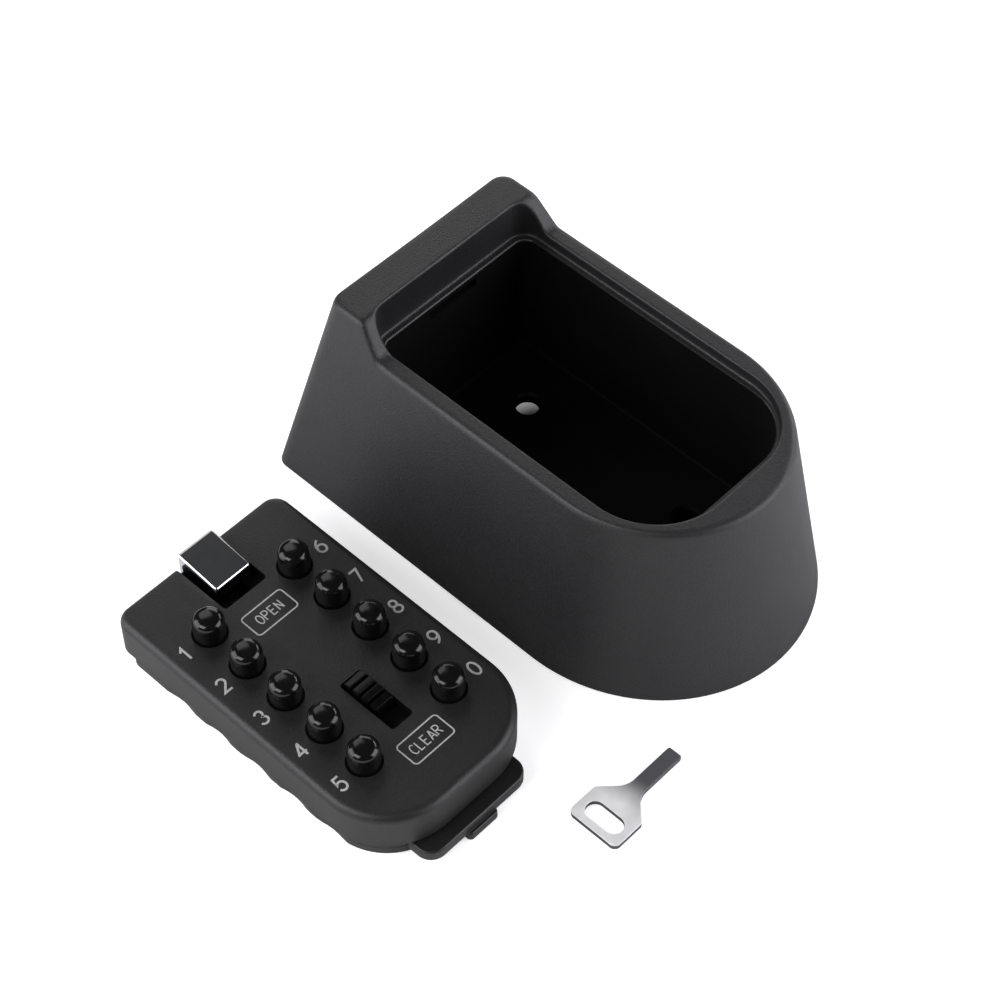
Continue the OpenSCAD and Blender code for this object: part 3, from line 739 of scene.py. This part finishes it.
# %% opening slide
CAP_SIDE = [(25.2, 10.9), (35.9, 10.9), (35.9, 17.4), (25.2, 16.2)]
CAP_HALF, CAP_EDGE = 4.4, 0.55
ends = [np.array([(LID_X + x, LID_Y + y, z) for y, z in CAP_SIDE]) for x in (-CAP_HALF, CAP_HALF)]
cap = from_rings("open_cap", ends, [cap_chrome])
soften = cap.modifiers.new("soften", "BEVEL")
soften.width, soften.segments = CAP_EDGE * MM, 3
bpy.context.view_layer.update()
bake(cap)
stem = lid_block("open_stem", 2.5, (27.2, 31.2), (3.4, 11.2), cap_chrome)
shape(cap, stem, "UNION")
finish_edges(cap)
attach(cap, "opener")
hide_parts("open_slide")
print("opening slide faces", len(cap.data.polygons))

# %% [markdown]
# The clearing slide has a row of round thumb ridges on a slight arch. Its side view is drawn as one
# line that rises and falls over each ridge, then pushed across its width. Below the face it spreads
# into a skirt that keeps it in the slot.

# %% clearing slide
NEAR_END, FAR_END, SLIDE_MIDDLE, SLIDE_HALF, SLIDE_FOOT = -14.9, -5.9, -10.4, 4.5, 11.3
RIDGE, RIDGE_TOP, VALLEY, ARCH = 2.25, 15.0, 13.7, 0.5
FLANK = [(0.08, 0.0), (0.2, 0.45), (0.3, 0.8), (0.45, 0.97), (0.65, 1.0)]
RIDGE_LINE = FLANK + [(RIDGE - u, z) for u, z in reversed(FLANK)]
SECTIONS = ((-2.2, 0.25), (-2.12, 0.08), (-1.95, 0.0), (1.95, 0.0), (2.12, 0.08), (2.2, 0.25))


def slide_side(inset):
    """Side view of the slide's top, each ridge with rounded shoulders, drawn in by an inset."""
    side = [(NEAR_END + inset, SLIDE_FOOT)]
    for k in range(4):
        start = NEAR_END + k * RIDGE
        for u, z in RIDGE_LINE:
            along = min(max(start + u, NEAR_END + inset), FAR_END - inset)
            hump = ARCH * (1 - ((along - SLIDE_MIDDLE) / SLIDE_HALF) ** 2)
            side.append((along, VALLEY + (RIDGE_TOP - VALLEY) * z + hump - inset))
    side.append((FAR_END - inset, SLIDE_FOOT))
    return side


rings = [np.array([(LID_X + x, LID_Y + y, z) for y, z in slide_side(inset)]) for x, inset in SECTIONS]
slide = from_rings("clear_thumb", rings, [slide_black])
# The skirt takes the painted shade coat.
skirt = lid_block("skirt", 4.35, (-21.7, -4.5), (10.1, 11.5), painted_shade_powder)
shape(slide, skirt, "UNION")
finish_edges(slide)
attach(slide, "clearer")
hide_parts("clear_slide")
print("clearing slide faces", len(slide.data.polygons))

# %% [markdown]
# The code key is stamped from thin steel: a bow with an oblong hole, two sloping shoulders and a
# straight blade. A flat curve with a hole in it, given thickness and a tiny rolled edge, is how a
# stamping is made in Blender. The punch leaves its sheared edge dull, so the upright faces get a
# rougher steel, and that steel's much darker colour is painted shade along the key's edge.

# %% code key
KEY_X, KEY_Y, KEY_T, ROUND = -30.0, -52.0, 1.2, 0.14


def key_outline():
    """One edge from the bow to the tip of the blade at 0, then its mirror."""
    half, blade, shoulder = 5.75, 1.55, 4.5
    neck = -15.8 + half - blade
    reach = shoulder * math.tan(math.radians(22.5))
    top = [(-23.0, 4.7), (-22.75, 5.2), (-22.35, 5.58), (-21.9, half)]
    top += [(-16.0, half), (-15.65, half - 0.15)]
    for turn in np.linspace(225, 270, 12):
        t = math.radians(turn)
        top.append((neck + reach + shoulder * math.cos(t), blade + shoulder * (1 + math.sin(t))))
    top += [(-0.35, blade), (-0.1, blade - 0.12), (0.0, blade - 0.35)]
    return top + [(x, -y) for x, y in reversed(top)]


def key_hole():
    """Two half circles joined into an oblong."""
    at, r, reach = -19.5, 1.95, 2.2
    points = []
    for middle, start in ((reach, 0), (-reach, 180)):
        for turn in np.linspace(start, start + 180, 17):
            t = math.radians(turn)
            points.append((at + r * math.cos(t), middle + r * math.sin(t)))
    return points


stamp = bpy.data.curves.new("key_stamp", "CURVE")
stamp.dimensions, stamp.fill_mode = "2D", "BOTH"
for outline in (key_outline(), key_hole()):
    spline = stamp.splines.new("POLY")
    spline.points.add(len(outline) - 1)
    spline.use_cyclic_u = True
    for point, (x, y) in zip(spline.points, outline):
        point.co = (x * MM, y * MM, 0.0, 1.0)
stamp.extrude = (KEY_T / 2 - ROUND) * MM
stamp.bevel_depth, stamp.bevel_resolution = ROUND * MM, 2
stamp.offset = -ROUND * MM
blank = bpy.data.objects.new("key_blank", stamp)
bpy.context.scene.collection.objects.link(blank)
bpy.context.view_layer.update()
key_mesh = bpy.data.meshes.new_from_object(blank.evaluated_get(bpy.context.evaluated_depsgraph_get()))
bpy.data.objects.remove(blank)
key_mesh.transform(Matrix.Translation(Vector((KEY_X, KEY_Y, KEY_T / 2)) * MM))
key_mesh.materials.clear()
key_mesh.materials.append(tumbled_steel)
key_mesh.materials.append(sheared_steel_painted_shade)
# Upright faces take the steel whose dark colour is painted shade.
for face in key_mesh.polygons:
    face.material_index = 0 if abs(face.normal.z) > 0.6 else 1
key = bpy.data.objects.new("key_stamping", key_mesh)
bpy.context.scene.collection.objects.link(key)
finish_edges(key, 40)
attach(key, "code_key")
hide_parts("code_key")
print("key box", [round(c * 1000, 2) for c in key.dimensions])

# %% [markdown]
# The printing. The lid's digits and words are plain single-stroke signs, so each is drawn here as
# a few lines and arcs in a box one unit high. A strip of even width follows each line, mitred at
# its corners, and gets a thickness of a few hundredths of a millimetre, as printed ink has. A
# font would be quicker, but its letters are wider than the ones on the lid.

# %% strokes of the signs
INK, INK_STEP, FRAME_INK = 0.03, 0.003, 0.04


def sweep(cx, cy, rx, ry, start, end, n=14):
    """Points on an oval arc, from one angle to another."""
    t = np.radians(np.linspace(start, end, n))
    return [(cx + rx * math.cos(a), cy + ry * math.sin(a)) for a in t]


def hook(a, pull, b, n=10):
    """Points on a curve from a to b that is drawn towards pull."""
    return [tuple((1 - t) ** 2 * a[i] + 2 * t * (1 - t) * pull[i] + t * t * b[i] for i in (0, 1))
            for t in np.linspace(0, 1, n)]


SIX = [sweep(0.28, 0.31, 0.28, 0.31, 0, 345, 24) + ["closed"],
       hook((0.45, 1.0), (0.03, 0.80), (0.0, 0.34))]
BOWL = [(0, 0), (0, 1), (0.26, 1)] + sweep(0.26, 0.75, 0.23, 0.25, 78, -78, 9)
BOWL += [(0.26, 0.5), (0.05, 0.5)]
SIGNS = {
    "0": [sweep(0.28, 0.5, 0.28, 0.5, 0, 345, 24) + ["closed"]],
    "1": [[(0.06, 0.74), (0.3, 1.0), (0.3, 0.0)]],
    "2": [sweep(0.28, 0.72, 0.27, 0.28, 165, -30) + [(0.0, 0.0), (0.56, 0.0)]],
    "3": [sweep(0.27, 0.75, 0.24, 0.25, 155, -85) + sweep(0.27, 0.26, 0.28, 0.26, 80, -160)],
    "4": [[(0.42, 0.0), (0.42, 1.03)], [(0.58, 0.28), (0.0, 0.28), (0.40, 0.98)]],
    "5": [[(0.52, 1.0), (0.11, 1.0), (0.05, 0.52)] + sweep(0.27, 0.32, 0.29, 0.32, 128, -155)],
    "6": SIX,
    "7": [[(0.0, 1.0), (0.56, 1.0), (0.2, 0.0)]],
    "8": [sweep(0.28, 0.26, 0.28, 0.26, 90, 435, 24) + ["closed"],
          sweep(0.28, 0.75, 0.23, 0.25, -60, 240, 20)],
    "9": [[q if q == "closed" else (0.56 - q[0], 1.0 - q[1]) for q in points] for points in SIX],
    "O": [sweep(0.27, 0.5, 0.27, 0.5, 0, 345, 24) + ["closed"]],
    "P": [BOWL],
    "E": [[(0.44, 1.0), (0.0, 1.0), (0.0, 0.0), (0.44, 0.0)], [(0.05, 0.52), (0.4, 0.52)]],
    "N": [[(0.0, 0.0), (0.0, 1.0)], [(0.01, 0.96), (0.47, 0.04)], [(0.48, 0.0), (0.48, 1.0)]],
    "C": [sweep(0.28, 0.5, 0.28, 0.5, 48, 312, 20)],
    "L": [[(0.0, 1.0), (0.0, 0.0), (0.42, 0.0)]],
    "A": [[(0.0, 0.0), (0.25, 0.99)], [(0.27, 0.99), (0.52, 0.0)], [(0.1, 0.32), (0.42, 0.32)]],
    "R": [BOWL, [(0.24, 0.48), (0.5, 0.0)]],
}


def strip(points, width):
    """Left and right edges of a line of even width, mitred at its corners."""
    closed = points[-1] == "closed"
    line_points = np.array(points[:-1] if closed else points, float)
    ahead = np.diff(np.concatenate([line_points, line_points[:1]]), axis=0)
    ahead /= np.maximum(np.linalg.norm(ahead, axis=1, keepdims=True), 1e-9)
    behind = np.roll(ahead, 1, axis=0)
    if not closed:
        ahead[-1], behind[0] = behind[-1], ahead[0]
    side_a = np.stack([-ahead[:, 1], ahead[:, 0]], 1)
    side_b = np.stack([-behind[:, 1], behind[:, 0]], 1)
    miter = side_a + side_b
    miter /= np.maximum((miter ** 2).sum(1, keepdims=True) / 2, 0.22)
    return line_points + miter * width / 2, line_points - miter * width / 2, closed


def printed(name, words, x, y, height, width, pitch):
    """Signs in a row, centred at x, y: strips with a little thickness in one mesh. Strips that cross
    differ in thickness, so that no faces coincide."""
    verts, faces = [], []
    count = 0
    for k, sign in enumerate(words):
        left = x + (k - (len(words) - 1) / 2) * pitch - 0.27 * height
        for points in SIGNS[sign]:
            scaled = [q if q == "closed" else (q[0] * height, q[1] * height) for q in points]
            one, two, closed = strip(scaled, width)
            n, base = len(one), len(verts)
            count += 1
            top = FACE + INK + INK_STEP * (count % 3)
            for edge, z in ((one, FACE), (one, top), (two, top), (two, FACE)):
                verts += [(left + u, y - height / 2 + v, z) for u, v in edge]
            for i in range(n if closed else n - 1):
                j = (i + 1) % n
                faces += [(base + a * n + i, base + a * n + j, base + b * n + j, base + b * n + i)
                          for a, b in ((0, 1), (1, 2), (2, 3), (3, 0))]
            if not closed:
                faces += [tuple(base + a * n + end for a in range(4)) for end in (0, n - 1)]
    thing = piece_from(name, verts, faces, [lid_ink])
    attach(thing, "lid")


print("signs drawn", len(SIGNS))

# %% [markdown]
# The digits stand outside the two columns of buttons. The two words sit in frames with round
# corners, one below the opening slide and one below the clearing slide.

# %% digits and words
for digit, (x, y) in DIGITS.items():
    outside = -6.3 if x < LID_X else 6.3
    printed("digit_" + digit, digit, x + outside, y - 0.3, 3.05, 0.44, 0)
printed("word_open", "OPEN", LID_X, LID_Y + 15.65, 2.1, 0.24, 1.6)
printed("word_clear", "CLEAR", LID_X, LID_Y - 24.9, 2.1, 0.24, 1.48)


def word_frame(name, y):
    """A printed border round a word at y."""
    outer = rounded_ring(10.3, y - 2.8, y + 2.8, 0.9, 0.9)
    inner = rounded_ring(9.74, y - 2.52, y + 2.52, 0.62, 0.62)
    n = len(outer)
    edges = ((outer, FACE), (outer, FACE + FRAME_INK), (inner, FACE + FRAME_INK), (inner, FACE))
    verts = np.concatenate([flat(ring, z) for ring, z in edges]) + np.array([LID_X, 0, 0])
    faces = []
    for k in range(4):
        for i in range(n):
            j = (i + 1) % n
            m = (k + 1) % 4
            faces.append((k * n + i, k * n + j, m * n + j, m * n + i))
    thing = piece_from(name, [tuple(v) for v in verts], faces, [lid_ink])
    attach(thing, "lid")


word_frame("frame_open", LID_Y + 15.6)
word_frame("frame_clear", LID_Y - 24.9)
print("printing made: 10 digits, 2 words, 2 frames")

# %% [markdown]
# Springs push the ten buttons and both slides back. Each is one coiled wire, so it is a small
# round section carried along a helix. A spring is the only inner piece that changes its length.
# Each is made here in place of its CAD node and rides on the lid, at one length.

# %% springs
WIRE_R = 0.2
UPRIGHT, ALONG = np.array([0.0, 0.0, 1.0]), np.array([0.0, 1.0, 0.0])


def coil(name, foot, way, radius, length, turns):
    """A coil of round wire that stands on foot and runs the given way, with plain ends."""
    across, beside = np.array([1.0, 0.0, 0.0]), (ALONG if way is UPRIGHT else UPRIGHT)
    section = np.linspace(0, 2 * math.pi, 8, endpoint=False)
    rings = []
    for t in np.linspace(0, 1, turns * 18 + 1):
        reach = radius + WIRE_R * np.cos(section)
        rise = WIRE_R + (length - 2 * WIRE_R) * t + WIRE_R * np.sin(section)
        a = 2 * math.pi * turns * t
        rings.append(np.array(foot) + np.outer(reach * math.cos(a), across)
                     + np.outer(reach * math.sin(a), beside) + np.outer(rise, way))
    return from_rings(name, rings, [wire_steel])


def add_spring(name, node, joint, travel, foot, way, *form):
    """A spring on the lid in place of its CAD node. joint and travel are not used. form is its radius,
    length and turns.
    """
    spring = finish_edges(coil(name, foot, way, *form), 60)
    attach(spring, "lid")
    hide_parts(node)
    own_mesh(spring)


for digit, (x, y) in DIGITS.items():
    add_spring("button_coil_" + digit, "spring_" + digit, "press_" + digit, 2.4,
               (x, y, 6.03), UPRIGHT, 2.7, 4.24, 3)
add_spring("opening_coil", "open_spring", "open_push", 3.2, (LID_X, -29.47, 3.0), ALONG, 0.9, 6.84, 4)
add_spring("clearing_coil", "clear_spring", "clear_push", 4.0, (LID_X, -27.97, 10.3), ALONG, 0.9, 8.24, 4)
print("springs made", len(DIGITS) + 2)

# %% [markdown]
# What is left of the CAD model shows through holes and from behind: the code pins, the lock
# plate's bolt, screws and inner plates. Their shapes are right as they are, so they keep their
# meshes and take a finish.

# %% finishes for the CAD nodes
KEPT = dict.fromkeys(("spring_shelf", "back_screws", "lock_plate", "clear_bar"), plate_steel)
KEPT.update({"pin_" + digit: pin_brass for digit in DIGITS})
for name, finish in KEPT.items():
    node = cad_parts[name]
    node.data.materials.clear()
    node.data.materials.append(finish)
print("CAD nodes finished", len(KEPT))

# %% [markdown]
# The studio's floor is a sheet of white paper. Enough light to make it white in the picture would
# wash out a black object, so to the camera and to mirrors it gives part of its white by itself.
# Near the object that part is smaller, so the floor still takes the soft shadows. Under the shell,
# where a hole shows it, hardly any is left: that fade is painted shade of the shell. Mirrors see no
# glow near the object, which is painted shade in the floor that the lower walls reflect.

# %% floor
paper, add, shader = new_finish("paper_floor")
where = add("ShaderNodeTexCoord").outputs["Object"]
fibre = noise(add, where, 300.0, 3.0)
add.link(two_tone(add, fibre, (0.78, 0.78, 0.78), (0.80, 0.80, 0.80)), shader.inputs["Base Color"])
shader.inputs["Roughness"].default_value = 0.9
shader.inputs["Specular IOR Level"].default_value = 0.0
ray = add("ShaderNodeLightPath").outputs
away = add("ShaderNodeVectorMath", links=[(where, 0)], operation="LENGTH").outputs["Value"]


def joined(how, a, b):
    """One value from two."""
    return add("ShaderNodeMath", operation=how, links=[(a, 0), (b, 1)]).outputs["Value"]


# Painted shade: the glow is smaller near the object and fades to almost none under the shell.
glow_with_painted_shade = joined("MULTIPLY", mapped(add, away, 0.14, 0.45, 0.60, 1.0),
               mapped(add, away, 0.0265, 0.0335, 0.05, 1.0))
seen = joined("MULTIPLY", ray["Is Camera Ray"], glow_with_painted_shade)
mirror_ray = joined("MAXIMUM", ray["Is Glossy Ray"], ray["Is Transmission Ray"])
# Painted shade in reflections: mirrors see no glow near the object.
mirrored = joined("MULTIPLY", mirror_ray, mapped(add, away, 0.07, 0.15, 0.0, 0.50))
glow = add("ShaderNodeEmission", links=[(joined("MAXIMUM", seen, mirrored), "Strength")],
           Color=(1.0, 1.0, 1.0, 1.0))
both = add("ShaderNodeAddShader", links=[(shader.outputs["BSDF"], 0), (glow.outputs["Emission"], 1)])
add.link(both.outputs["Shader"], paper.node_tree.nodes["Material Output"].inputs["Surface"])
floor_data = bpy.data.meshes.new("floor")
floor_data.from_pydata([(-3, -3, 0), (3, -3, 0), (3, 3, 0), (-3, 3, 0)], [], [(0, 1, 2, 3)])
floor_data.materials.append(paper)
floor = bpy.data.objects.new("floor", floor_data)
floor.location.z = -0.00005
bpy.context.scene.collection.objects.link(floor)
print("floor laid")

# %% [markdown]
# Six softboxes light the object: two strong ones low at the left and right, two weaker ones low
# behind, one higher beside the camera and a faint one high behind. The black coat has hardly a
# colour of its own, so what draws it is its sheen: low lights brighten the upright walls and leave
# the level faces darker. The lights are large, as in a product studio, because small lamps would
# show as spots in the buttons and the cap.

# %% lights
def softbox(name, turn, rise, distance, size, watts, tint=(1.0, 1.0, 1.0)):
    """A square light, turned about the object from the camera's side and raised, in degrees and metres."""
    aim = Vector((-0.03, 0.0, 0.02))
    way = direction(TURN + math.radians(turn), math.radians(rise))
    lamp = bpy.data.lights.new(name, "AREA")
    lamp.shape, lamp.size, lamp.energy, lamp.color = "SQUARE", size, watts, tint
    box = bpy.data.objects.new(name, lamp)
    box.location = aim + way * distance
    box.rotation_mode = "QUATERNION"
    box.rotation_quaternion = (-way).to_track_quat("-Z", "Y")
    bpy.context.scene.collection.objects.link(box)


COOL = (0.955, 0.945, 1.0)
softbox("left_box", 277, 23, 0.6, 0.48, 3.0, COOL)
softbox("right_box", 80, 23, 0.6, 0.48, 3.4, COOL)
softbox("far_right_box", 135, 22, 0.6, 0.30, 1.35, COOL)
softbox("far_box", 180, 22, 0.6, 0.30, 0.75)
softbox("camera_left_box", 315, 40, 0.7, 0.35, 2.1)
softbox("high_box", 208, 45, 0.7, 0.30, 0.5)

world = bpy.data.worlds.new("studio")
bpy.context.scene.world = world
world.use_nodes = True
world.node_tree.nodes["Background"].inputs["Color"].default_value = (1.0, 1.0, 1.0, 1.0)
world.node_tree.nodes["Background"].inputs["Strength"].default_value = 0.06
bpy.context.scene.view_settings.view_transform = "Standard"
print("lights set")
